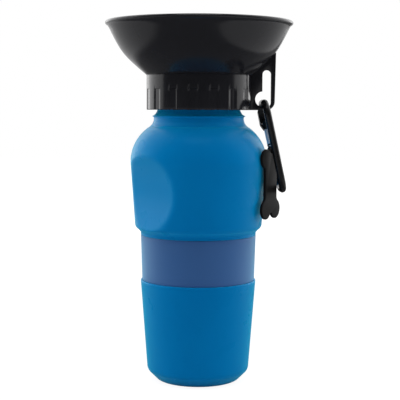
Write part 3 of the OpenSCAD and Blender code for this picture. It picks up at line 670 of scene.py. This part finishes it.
COLLAR_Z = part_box("bowl_cap")[0].z / MM
RIM_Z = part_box("bowl_cap")[1].z / MM
UNDER_Z = COLLAR_Z + 19.1
FLOOR_Z = UNDER_Z + 2.8
COLLAR_TOP_Z = FLOOR_Z + 0.45
COLLAR_R, COLLAR_ROUND, COLLAR_SINK = 33.7, 0.5, 0.15
SKIRT_T, SKIRT_ROOT, THREAD_ROOT_R, CAP_THREAD_DROP = 2.0, 5, 28.15, 2.5

FLUTES, FLUTE_H, FLUTE_DEPTH, FLUTE_PHASE = 16, 13.3, 0.55, -6.2
FLUTE_HALF, FLUTE_SIDE, FLUTE_TOP = 5.9, 3.4, 0.25  # half width and sides in degrees, top in mm
FLUTE_ROWS, FLUTE_ROW_H = 10, 1.2

BOWL_WALL, BEND_R, BEAD_R = 2.2, 50.0, 1.35
RIM = (60.1 - BEAD_R, RIM_Z - BEAD_R)
KNEE = (49.1, COLLAR_TOP_Z + 12.9)
WALL_TOP = (57.6, RIM_Z - 4.6)
BOWL_START = (COLLAR_R + 0.2, COLLAR_TOP_Z)
BOWL_LEAD = (BOWL_START[0] + 15.3, BOWL_START[1] + 12.9)
BOWL_BEND = (WALL_TOP[0] - 7.5, WALL_TOP[1] - 15.3)
LOW_SLOPE = math.atan2(KNEE[1] - BOWL_START[1], KNEE[0] - BOWL_START[0])
HIGH_SLOPE = math.atan2(RIM[1] - KNEE[1], RIM[0] + BEAD_R / 2 - KNEE[0])
FLOOR_ROUND = 6
BOWL_STEPS, BOWL_STEP, BOWL_COLUMNS = 30, 4.0, 480

RISER_R, CHAMBER_R, RISER_H, RISER_COLUMNS, RISER_STEP = 10.0, 7.6, 12.0, 144, 1.5
PORT_LOW, PORT_HIGH, PORT_ANGLES, PORT_WIDE = 1.6, 7.1, (-30, 150), 60
SPIGOT_R, SPIGOT_BORE_R, SPIGOT_L = 4.77, 3.37, 12.0

FLANGE_X, FLANGE_DRAFT, FLANGE_T, FLANGE_ROUND, FLANGE_EDGE = 49.4, 0.7, 3.2, 5.5, 0.45
SLOT_W, LOBE_R, KEYHOLE_H, KEYHOLE_LAND, KEYHOLE_LOW = 5.4, 5.0, 23.6, 2.5, 2.0


def wall_shift(point, a, b, t):
    """The point moved off a wall's corner between two slopes, for a wall of thickness t."""
    size = t / math.cos((b - a) / 2)
    return point[0] - size * math.sin((a + b) / 2), point[1] + size * math.cos((a + b) / 2)


def fluted(angle, r, z):
    """The collar's flutes: shallow hollows with soft sides that run out at the top."""
    if r < COLLAR_R - 0.9 or z > COLLAR_Z + FLUTE_H:
        return r
    pitch = 360 / FLUTES
    off = abs((math.degrees(angle) - FLUTE_PHASE + pitch / 2) % pitch - pitch / 2)
    side = min(1.0, max(0.0, (FLUTE_HALF - off) / FLUTE_SIDE))
    top = min(1.0, (COLLAR_Z + FLUTE_H - z) / FLUTE_TOP)
    return r - FLUTE_DEPTH * side * side * (3 - 2 * side) * top * top * (3 - 2 * top)


def bowl_profile():
    """Closed profile of the bowl, the collar, the inner skirt and the spigot."""
    low = wall_shift(KNEE, LOW_SLOPE, LOW_SLOPE, BOWL_WALL)
    floor_corner = (low[0] - (low[1] - FLOOR_Z) / math.tan(LOW_SLOPE), FLOOR_Z)
    inner_knee = wall_shift(KNEE, LOW_SLOPE, HIGH_SLOPE, BOWL_WALL)
    inner_rim = (RIM[0] - BEAD_R * 0.6, RIM[1])
    collar = arc((COLLAR_R - COLLAR_ROUND, COLLAR_Z + COLLAR_ROUND), COLLAR_ROUND, -90, -15, 4)
    collar += [(COLLAR_R, COLLAR_Z + 0.6 + k * FLUTE_ROW_H) for k in range(FLUTE_ROWS)]
    collar += [(COLLAR_R, COLLAR_Z + FLUTE_H - drop) for drop in (FLUTE_TOP, 0.0)]
    joint = [(COLLAR_R, COLLAR_TOP_Z - 0.5), (COLLAR_R - COLLAR_SINK, COLLAR_TOP_Z - 0.32),
             (COLLAR_R - COLLAR_SINK, COLLAR_TOP_Z - 0.2), (COLLAR_R + 0.1, COLLAR_TOP_Z - 0.05)]
    outside = cubic(BOWL_START, BOWL_LEAD, BOWL_BEND, WALL_TOP, BOWL_STEPS)
    lip = [(RIM[0] - 0.65, RIM[1] - 2.45), (RIM[0] - 0.25, RIM[1] - 1.8)]
    lip += arc(RIM, BEAD_R, -60, 135, 16)
    inside = fillet(inner_rim, inner_knee, floor_corner, BEND_R - BOWL_WALL, 16)
    corner = fillet(inner_knee, floor_corner, (0, FLOOR_Z), FLOOR_ROUND, 8)
    bore = rounded([
        (SPIGOT_BORE_R, FLOOR_Z, 0.3), (SPIGOT_BORE_R, UNDER_Z - SPIGOT_L, 0.3),
        (SPIGOT_R, UNDER_Z - SPIGOT_L, 0.4), (SPIGOT_R, UNDER_Z, 0.4),
        (THREAD_ROOT_R, UNDER_Z, 0.5), (THREAD_ROOT_R, COLLAR_Z, 0.3),
        (THREAD_ROOT_R + SKIRT_T, COLLAR_Z, 0.3),
        (THREAD_ROOT_R + SKIRT_T, UNDER_Z - SKIRT_ROOT, 0.4),
        (COLLAR_R - SKIRT_T, UNDER_Z - SKIRT_ROOT, 0.4), (COLLAR_R - SKIRT_T, COLLAR_Z, 0.3)
    ], closed=True)
    return refined(collar + joint + outside + lip + inside + corner + bore, BOWL_STEP)


def windowed_ring(name, r0, r1, z0, z1, windows):
    """A round wall with windows, each (from angle, to angle, low, high), angles in degrees."""
    columns = RISER_COLUMNS
    heights = sorted({z0, z1} | {w[2] for w in windows} | {w[3] for w in windows})
    heights = [p[1] for p in refined([(0, z) for z in heights], RISER_STEP)]
    rows = len(heights) - 1

    def is_open(i, c):
        middle = 360 * (c + 0.5) / columns
        z = (heights[i] + heights[i + 1]) / 2
        return any((middle - a) % 360 < b - a and low < z < high for a, b, low, high in windows)

    solid = {(i, c): not is_open(i, c) for i in range(rows) for c in range(columns)}
    turns = [2 * math.pi * c / columns for c in range(columns)]
    verts = [(r * math.cos(a) * MM, r * math.sin(a) * MM, z * MM)
             for z in heights for r in (r0, r1) for a in turns]

    def at(i, side, c):
        return (i * 2 + side) * columns + c % columns

    faces = []
    for (i, c), full in solid.items():
        if not full:
            continue
        faces.append((at(i, 1, c), at(i, 1, c + 1), at(i + 1, 1, c + 1), at(i + 1, 1, c)))
        faces.append((at(i, 0, c + 1), at(i, 0, c), at(i + 1, 0, c), at(i + 1, 0, c + 1)))
        if not solid.get((i - 1, c)):
            faces.append((at(i, 0, c), at(i, 0, c + 1), at(i, 1, c + 1), at(i, 1, c)))
        if not solid.get((i + 1, c)):
            j = i + 1
            faces.append((at(j, 1, c), at(j, 1, c + 1), at(j, 0, c + 1), at(j, 0, c)))
        if not solid[(i, (c - 1) % columns)]:
            faces.append((at(i, 0, c), at(i, 1, c), at(i + 1, 1, c), at(i + 1, 0, c)))
        if not solid[(i, (c + 1) % columns)]:
            d = c + 1
            faces.append((at(i, 1, d), at(i, 0, d), at(i + 1, 0, d), at(i + 1, 1, d)))
    piece = mesh_object(name, verts, faces)

    def drop_loose(bm):
        bmesh.ops.delete(bm, geom=[v for v in bm.verts if not v.link_faces], context="VERTS")

    rework(piece.data, drop_loose)
    shade(piece, 35)
    return piece


def keyhole():
    """Outline (x, z) of the flange's keyhole: a slot whose lower end opens into a round lobe."""
    out_x, low_z = FLANGE_X - FLANGE_DRAFT - KEYHOLE_LAND, COLLAR_Z + KEYHOLE_LOW
    end_r = SLOT_W / 2
    top = (out_x - end_r, low_z + KEYHOLE_H - end_r)
    foot = (out_x - end_r, low_z + end_r)
    lobe = (out_x - LOBE_R, low_z + LOBE_R)
    meet = math.degrees(math.asin((out_x - SLOT_W - lobe[0]) / LOBE_R)) + 90
    apart = LOBE_R - end_r
    turn = math.degrees(math.acos(
        (LOBE_R ** 2 + 2 * apart ** 2 - end_r ** 2) / (2 * math.sqrt(2) * apart * LOBE_R)))
    lobe_arc = arc(lobe, LOBE_R, 180 - meet, 315 - turn, 30)
    last = lobe_arc[-1]
    begin = math.degrees(math.atan2(last[1] - foot[1], last[0] - foot[0]))
    return arc(top, end_r, 0, 180, 14) + lobe_arc + arc(foot, end_r, begin, 0, 8)[1:]


def make_flange():
    low_out = (FLANGE_X - FLANGE_DRAFT, COLLAR_Z)
    top_z = KNEE[1] + (FLANGE_X - KNEE[0]) * math.tan(HIGH_SLOPE) + BOWL_WALL / 2
    outline = [(COLLAR_R - 1, COLLAR_Z + 0.02)]
    outline += fillet((0, COLLAR_Z), low_out, (FLANGE_X, top_z), FLANGE_ROUND, 12)
    outline += [(FLANGE_X, top_z), (KNEE[0] - 1.2, KNEE[1] + 0.9),
                (COLLAR_R - 0.4, COLLAR_TOP_Z + 0.9)]
    upright = Matrix(((1, 0, 0, 0), (0, 0, -1, 0), (0, 1, 0, 0), (0, 0, 0, 1)))
    return plate("hang_flange", outline, keyhole(), FLANGE_T, FLANGE_EDGE, upright)


def make_cap():
    profile = bowl_profile()
    bowl = turned("bowl_and_collar", profile, BOWL_COLUMNS, [fluted] * len(profile), sharp=38)
    ports = [(a, a + PORT_WIDE, FLOOR_Z + PORT_LOW, FLOOR_Z + PORT_HIGH) for a in PORT_ANGLES]
    riser = windowed_ring("riser", CHAMBER_R, RISER_R, FLOOR_Z - 0.3, FLOOR_Z + RISER_H, ports)
    thread = helix("cap_thread", THREAD_ROOT_R, -1, THREAD_Z - CAP_THREAD_DROP)
    piece = joined("bowl_cap_skin", [bowl, riser, thread, make_flange()])
    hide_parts("bowl_cap")
    return dress(piece, CAP, "cap")


# ---------------------------------------------------------------- carabiner

def axis_of(name):
    return Vector(JOINTS[name]["axis"]).normalized()


def placed(x, z, origin):
    """Matrix of a frame with the given X and Z directions at an origin."""
    y = z.cross(x).normalized()
    made = Matrix((x, y, x.cross(y))).transposed().to_4x4()
    made.translation = Vector(origin)
    return made


LOOP_X = axis_of("gate_open")
LOOP = placed(LOOP_X, LOOP_X.cross(-axis_of("carabiner_swing")), JOINTS["carabiner_swing"]["pos_m"])
GATE_SLOPE = math.radians(8)
HINGE_AT = Vector(JOINTS["gate_open"]["pos_m"])
GATE = LOOP.copy()
GATE.translation = (0, 0, 0)
GATE = Matrix.Translation(HINGE_AT) @ GATE @ Matrix.Rotation(-GATE_SLOPE, 4, "X")
HINGE_IN = LOOP.inverted() @ HINGE_AT

ROD_R, BEND, NOSE_BEND, SPINE_Y, LOOP_L = 2.3, 8.0, 6.5, 18.0, 56.0
ROD_SIDES, ROD_STEP, ROD_EDGE = 32, 2.5, 0.5
NOSE_CENTRE = (3.9, -6.5)
SHANK_DROP = 4.5
SHANK_TOP = (HINGE_IN.y / MM - SHANK_DROP * math.sin(GATE_SLOPE),
             HINGE_IN.z / MM - SHANK_DROP * math.cos(GATE_SLOPE))

SLIT_HALF, NOSE_HALF, CHIN_HALF = 2.12, 3.75, 2.4
SLIT_IN, SLIT_OUT, MOUTH_TOP = 2.12, 4.7, 20.4
NOSE_IN, NOSE_OUT = -2.45, 3.42
NOTCH_LOW, NOTCH_TOP, NOTCH_OUT = 16.63, 18.57, 0.87
NOSE_EDGE, DEEP, WIDE = 0.35, 14, 8  # DEEP and WIDE reach past the nose on both sides

TONGUE_R, TONGUE_BACK, TONGUE_L, TONGUE_HALF, TONGUE_EDGE, EYE_R = 1.75, 1.35, 6, 0.8, 0.12, 0.8


def loop_path():
    """Centre line of the rod, (across, along) in its own plane, from the shank to the nose."""
    slope = math.degrees(GATE_SLOPE)
    low = -LOOP_L + BEND
    out = (math.cos(GATE_SLOPE), -math.sin(GATE_SLOPE))
    start = (NOSE_CENTRE[0] + NOSE_BEND * out[0], NOSE_CENTRE[1] + NOSE_BEND * out[1])
    line = (start[0] - BEND * out[0], start[1] - BEND * out[1])
    low_y = line[0] + (low - line[1]) * math.tan(GATE_SLOPE)
    left = BEND - SPINE_Y
    path = [SHANK_TOP] + arc((low_y, low), BEND, -slope, -90, 12)
    path += arc((left, low), BEND, 270, 180, 14) + arc((left, -BEND), BEND, 180, 90, 14)
    path += arc(NOSE_CENTRE, NOSE_BEND, 90, -slope, 12)
    return refined(path, ROD_STEP)


def make_nose():
    """The forked nose: two ears round the gate's tip, notched for the latch pin.

    Heights are along the gate from its hinge. The face is seen along the loop's plane and the
    side is seen square to it.
    """
    face = [(-CHIN_HALF, 28.4), (-NOSE_HALF, 25.8), (-NOSE_HALF, 16.9), (-SLIT_HALF, 13.3)]
    face += [(-x, y) for x, y in reversed(face)]
    side = [(NOSE_IN, 12.8), (NOSE_OUT, 12.8), (NOSE_OUT, 22.2), (2.45, 24.4), (1.1, 27.7),
            (-1.3, 29.2), (-4.1, 27.6), (NOSE_IN, 24.4)]
    mouth = [(-SLIT_HALF, 12), (SLIT_HALF, 12), (SLIT_HALF, MOUTH_TOP), (-SLIT_HALF, MOUTH_TOP)]
    notch = [(-5, NOTCH_LOW), (NOTCH_OUT, NOTCH_LOW), (NOTCH_OUT, NOTCH_TOP), (-5, NOTCH_TOP)]
    facing = GATE @ Matrix.Translation((0, DEEP * MM, 0)) @ Matrix.Rotation(math.pi / 2, 4, "X")
    edgewise = GATE @ Matrix(((0, 0, 1, 0), (1, 0, 0, 0), (0, 1, 0, 0), (0, 0, 0, 1)))
    piece = prism("nose", face, 0, 2 * DEEP, facing)
    cut(piece, prism("profile", side, -WIDE, WIDE, edgewise), "INTERSECT")
    cut(piece, prism("mouth", mouth, DEEP - SLIT_IN, DEEP + SLIT_OUT, facing), "DIFFERENCE")
    cut(piece, prism("notch", notch, -WIDE, WIDE, edgewise), "DIFFERENCE")
    return edged(piece, NOSE_EDGE)


def make_carabiner():
    path = [LOOP @ Vector((0, y * MM, z * MM)) for y, z in loop_path()]
    rod = tube("loop", path, ROD_R * MM, ROD_SIDES, LOOP_X)
    tongue = [(max(x, -TONGUE_BACK), y) for x, y in arc((0, 0), TONGUE_R, 90, 270, 12)]
    tongue += [(TONGUE_L, -TONGUE_R), (TONGUE_L, TONGUE_R)]
    sideways = GATE @ Matrix.Rotation(math.pi / 2, 4, "Y")
    blade = prism("tongue", tongue, -TONGUE_HALF, TONGUE_HALF, sideways)
    cut(blade, prism("eye", arc((0, 0), EYE_R, 0, 348, 29), -3, 3, sideways), "DIFFERENCE")
    pieces = [edged(rod, ROD_EDGE), make_nose(), edged(blade, TONGUE_EDGE)]
    piece = without_ngons(joined("carabiner_skin", pieces))
    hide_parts("carabiner_frame")
    return dress(piece, CARABINER, "carabiner")


# ---------------------------------------------------------------- all pieces

KNOB_EDGE, GATE_EDGE, BONE_EDGE = 0.45, 0.18, 0.55
# the gate is painted dark from here up, as painted shade inside the nose's mouth
TIP_SHADE_FROM = 13.6  # along the gate from its hinge

make_bottle()
make_band()
make_cap()
make_carabiner()
dress(softened("valve_knob_skin", "valve_knob", KNOB_EDGE), KNOB, "knob")
# painted shade on the gate's tip inside the nose
shade_painted_tip(SILVER, (GATE @ Vector((0, 0, TIP_SHADE_FROM * MM))).z)
gate = without_ngons(softened("gate_skin", "carabiner_gate", GATE_EDGE))
dress(gate, SILVER, "gate")
dress(softened("bone_skin", "bone_tag", BONE_EDGE, 4), BONE, "bone")
dress(smoothed("tag_link_skin", "tag_link", 1), LINK, "carabiner")
for node, made in (
    ("neck_gasket", GASKET), ("dip_tube", TUBE), ("valve_o_ring", O_RING), ("gate_rivet", STEEL),
    ("latch_pin", STEEL), ("gate_spring", STEEL), ("spring_plunger", BRASS),
):
    dress(NODES[node], made)


# ---------------------------------------------------------------- studio

FILL = 0.275  # the sky's light on matte surfaces
SHINE_SPAN, SHINE_FRONT = (-0.05, 1.0), 0.06  # the sky in reflections, from front to back
FLOOR_HALF, FLOOR_DROP, FLOOR_GREY = 3, 0.0002, (0.64, 0.64, 0.64, 1)
FLOOR_WHITE, FLOOR_SHINE, CARD_SHINE = 1.17, 0.16, 0.75
SHADOW_SPAN, SHADOW_MIX = (0.25, 0.8), (0.80, 1.0)  # the contact shadow fades out with distance
LEFT_CARD, RIGHT_CARD, CARD_LEAN = (-0.24, -0.30), (0.20, 0.215), -0.35
SIDE_SOFTBOX = (2.3, 2.5)
CAMERA_AT, CAMERA_TILT, CAMERA_ROLL, LENS = (0.0010, -0.690, 0.1762), 4.89, 0.26, 96.0


def emission(tree, strength=1.0):
    return add(tree, "ShaderNodeEmission", {"Strength": strength})


def mixed(tree, share, first, second):
    """The first shader turned into the second by a share."""
    node = add(tree, "ShaderNodeMixShader")
    tree.links.new(share, node.inputs["Fac"])
    tree.links.new(first, node.inputs[1])
    tree.links.new(second, node.inputs[2])
    return node.outputs["Shader"]


def backdrop_rays(tree, plain, background, shine):
    """What camera and transmission rays see, what glossy rays see, and a plain surface for all."""
    rays = add(tree, "ShaderNodeLightPath").outputs
    seen = add(tree, "ShaderNodeMath")
    seen.operation = "MAXIMUM"
    tree.links.new(rays["Is Camera Ray"], seen.inputs[0])
    tree.links.new(rays["Is Transmission Ray"], seen.inputs[1])
    lit = mixed(tree, rays["Is Glossy Ray"], plain, shine)
    return mixed(tree, seen.outputs["Value"], lit, background)


def studio():
    world = bpy.data.worlds.new("studio")
    bpy.context.scene.world = world
    world.use_nodes = True
    tree = world.node_tree
    tree.nodes.clear()

    def sky(strength):
        return add(tree, "ShaderNodeBackground", {"Color": (1, 1, 1, 1), "Strength": strength})

    shiny = sky(1.0)
    axes = split_axes(tree, add(tree, "ShaderNodeTexCoord").outputs["Generated"])
    ramped(tree, axes["Y"], SHINE_SPAN, (SHINE_FRONT, 1.0), shiny.inputs["Strength"])
    view = backdrop_rays(tree, sky(FILL).outputs[0], sky(1.0).outputs[0], shiny.outputs[0])
    tree.links.new(view, add(tree, "ShaderNodeOutputWorld").inputs["Surface"])


def floor():
    """White floor with a soft contact shadow, and two bright cards that only reflections show."""
    ends = ((-FLOOR_HALF, -FLOOR_HALF), (FLOOR_HALF, -FLOOR_HALF),
            (FLOOR_HALF, FLOOR_HALF), (-FLOOR_HALF, FLOOR_HALF))
    piece = mesh_object("studio_floor", [(x, y, 0) for x, y in ends], [(0, 1, 2, 3)])
    piece.location.z = -FLOOR_DROP
    made, tree, shader = material("floor_white")
    fill(shader, {"Base Color": FLOOR_GREY, "Roughness": 0.9, "Specular IOR Level": 0.0})
    place = own_space(tree)
    away = add(tree, "ShaderNodeVectorMath")
    away.operation = "LENGTH"
    tree.links.new(place, away.inputs[0])
    fade = add(tree, "ShaderNodeMixShader")
    ramped(tree, away.outputs["Value"], SHADOW_SPAN, SHADOW_MIX, fade.inputs["Fac"])
    tree.links.new(shader.outputs["BSDF"], fade.inputs[1])
    tree.links.new(emission(tree, FLOOR_WHITE).outputs["Emission"], fade.inputs[2])

    axes = split_axes(tree, place)
    leaning = add(tree, "ShaderNodeMath", {1: CARD_LEAN})
    leaning.operation = "MULTIPLY_ADD"
    tree.links.new(axes["Y"], leaning.inputs[0])
    tree.links.new(axes["X"], leaning.inputs[2])
    cards = add(tree, "ShaderNodeMath")
    cards.operation = "MAXIMUM"
    shines = (FLOOR_SHINE, CARD_SHINE)
    ramped(tree, leaning.outputs["Value"], RIGHT_CARD, shines, cards.inputs[0])
    ramped(tree, axes["X"], LEFT_CARD, shines, cards.inputs[1])
    shine = emission(tree)
    tree.links.new(cards.outputs["Value"], shine.inputs["Strength"])
    view = backdrop_rays(tree, shader.outputs["BSDF"], fade.outputs["Shader"],
                         shine.outputs["Emission"])
    tree.links.new(view, tree.nodes["Material Output"].inputs["Surface"])
    piece.data.materials.append(made)


def lamp(name, place, aim, size, power):
    light = bpy.data.lights.new(name, "AREA")
    light.shape = "RECTANGLE"
    light.size, light.size_y = size
    light.energy = power
    holder = put(name, light)
    holder.location = place
    holder.rotation_euler = (Vector(aim) - Vector(place)).to_track_quat("-Z", "Y").to_euler()


def camera():
    view = bpy.data.cameras.new("camera")
    view.sensor_width = 36
    view.lens = LENS
    view.clip_end = 20
    holder = put("camera", view)
    holder.location = CAMERA_AT
    tilt = Matrix.Rotation(math.radians(90 - CAMERA_TILT), 3, "X")
    roll = Matrix.Rotation(math.radians(CAMERA_ROLL), 3, "Z")
    holder.rotation_euler = (tilt @ roll).to_euler()
    bpy.context.scene.camera = holder


studio()
floor()
lamp("left_softbox", (-1.1, 0.62, 0.85), (0, 0, 0.2), SIDE_SOFTBOX, 25.0)
lamp("right_softbox", (1.1, 0.60, 0.85), (0, 0, 0.2), SIDE_SOFTBOX, 24.0)
lamp("top_softbox", (0, -0.3, 1.1), (0, 0, 0.1), (0.6, 0.6), 4)
camera()

bpy.context.scene.view_settings.view_transform = "Standard"
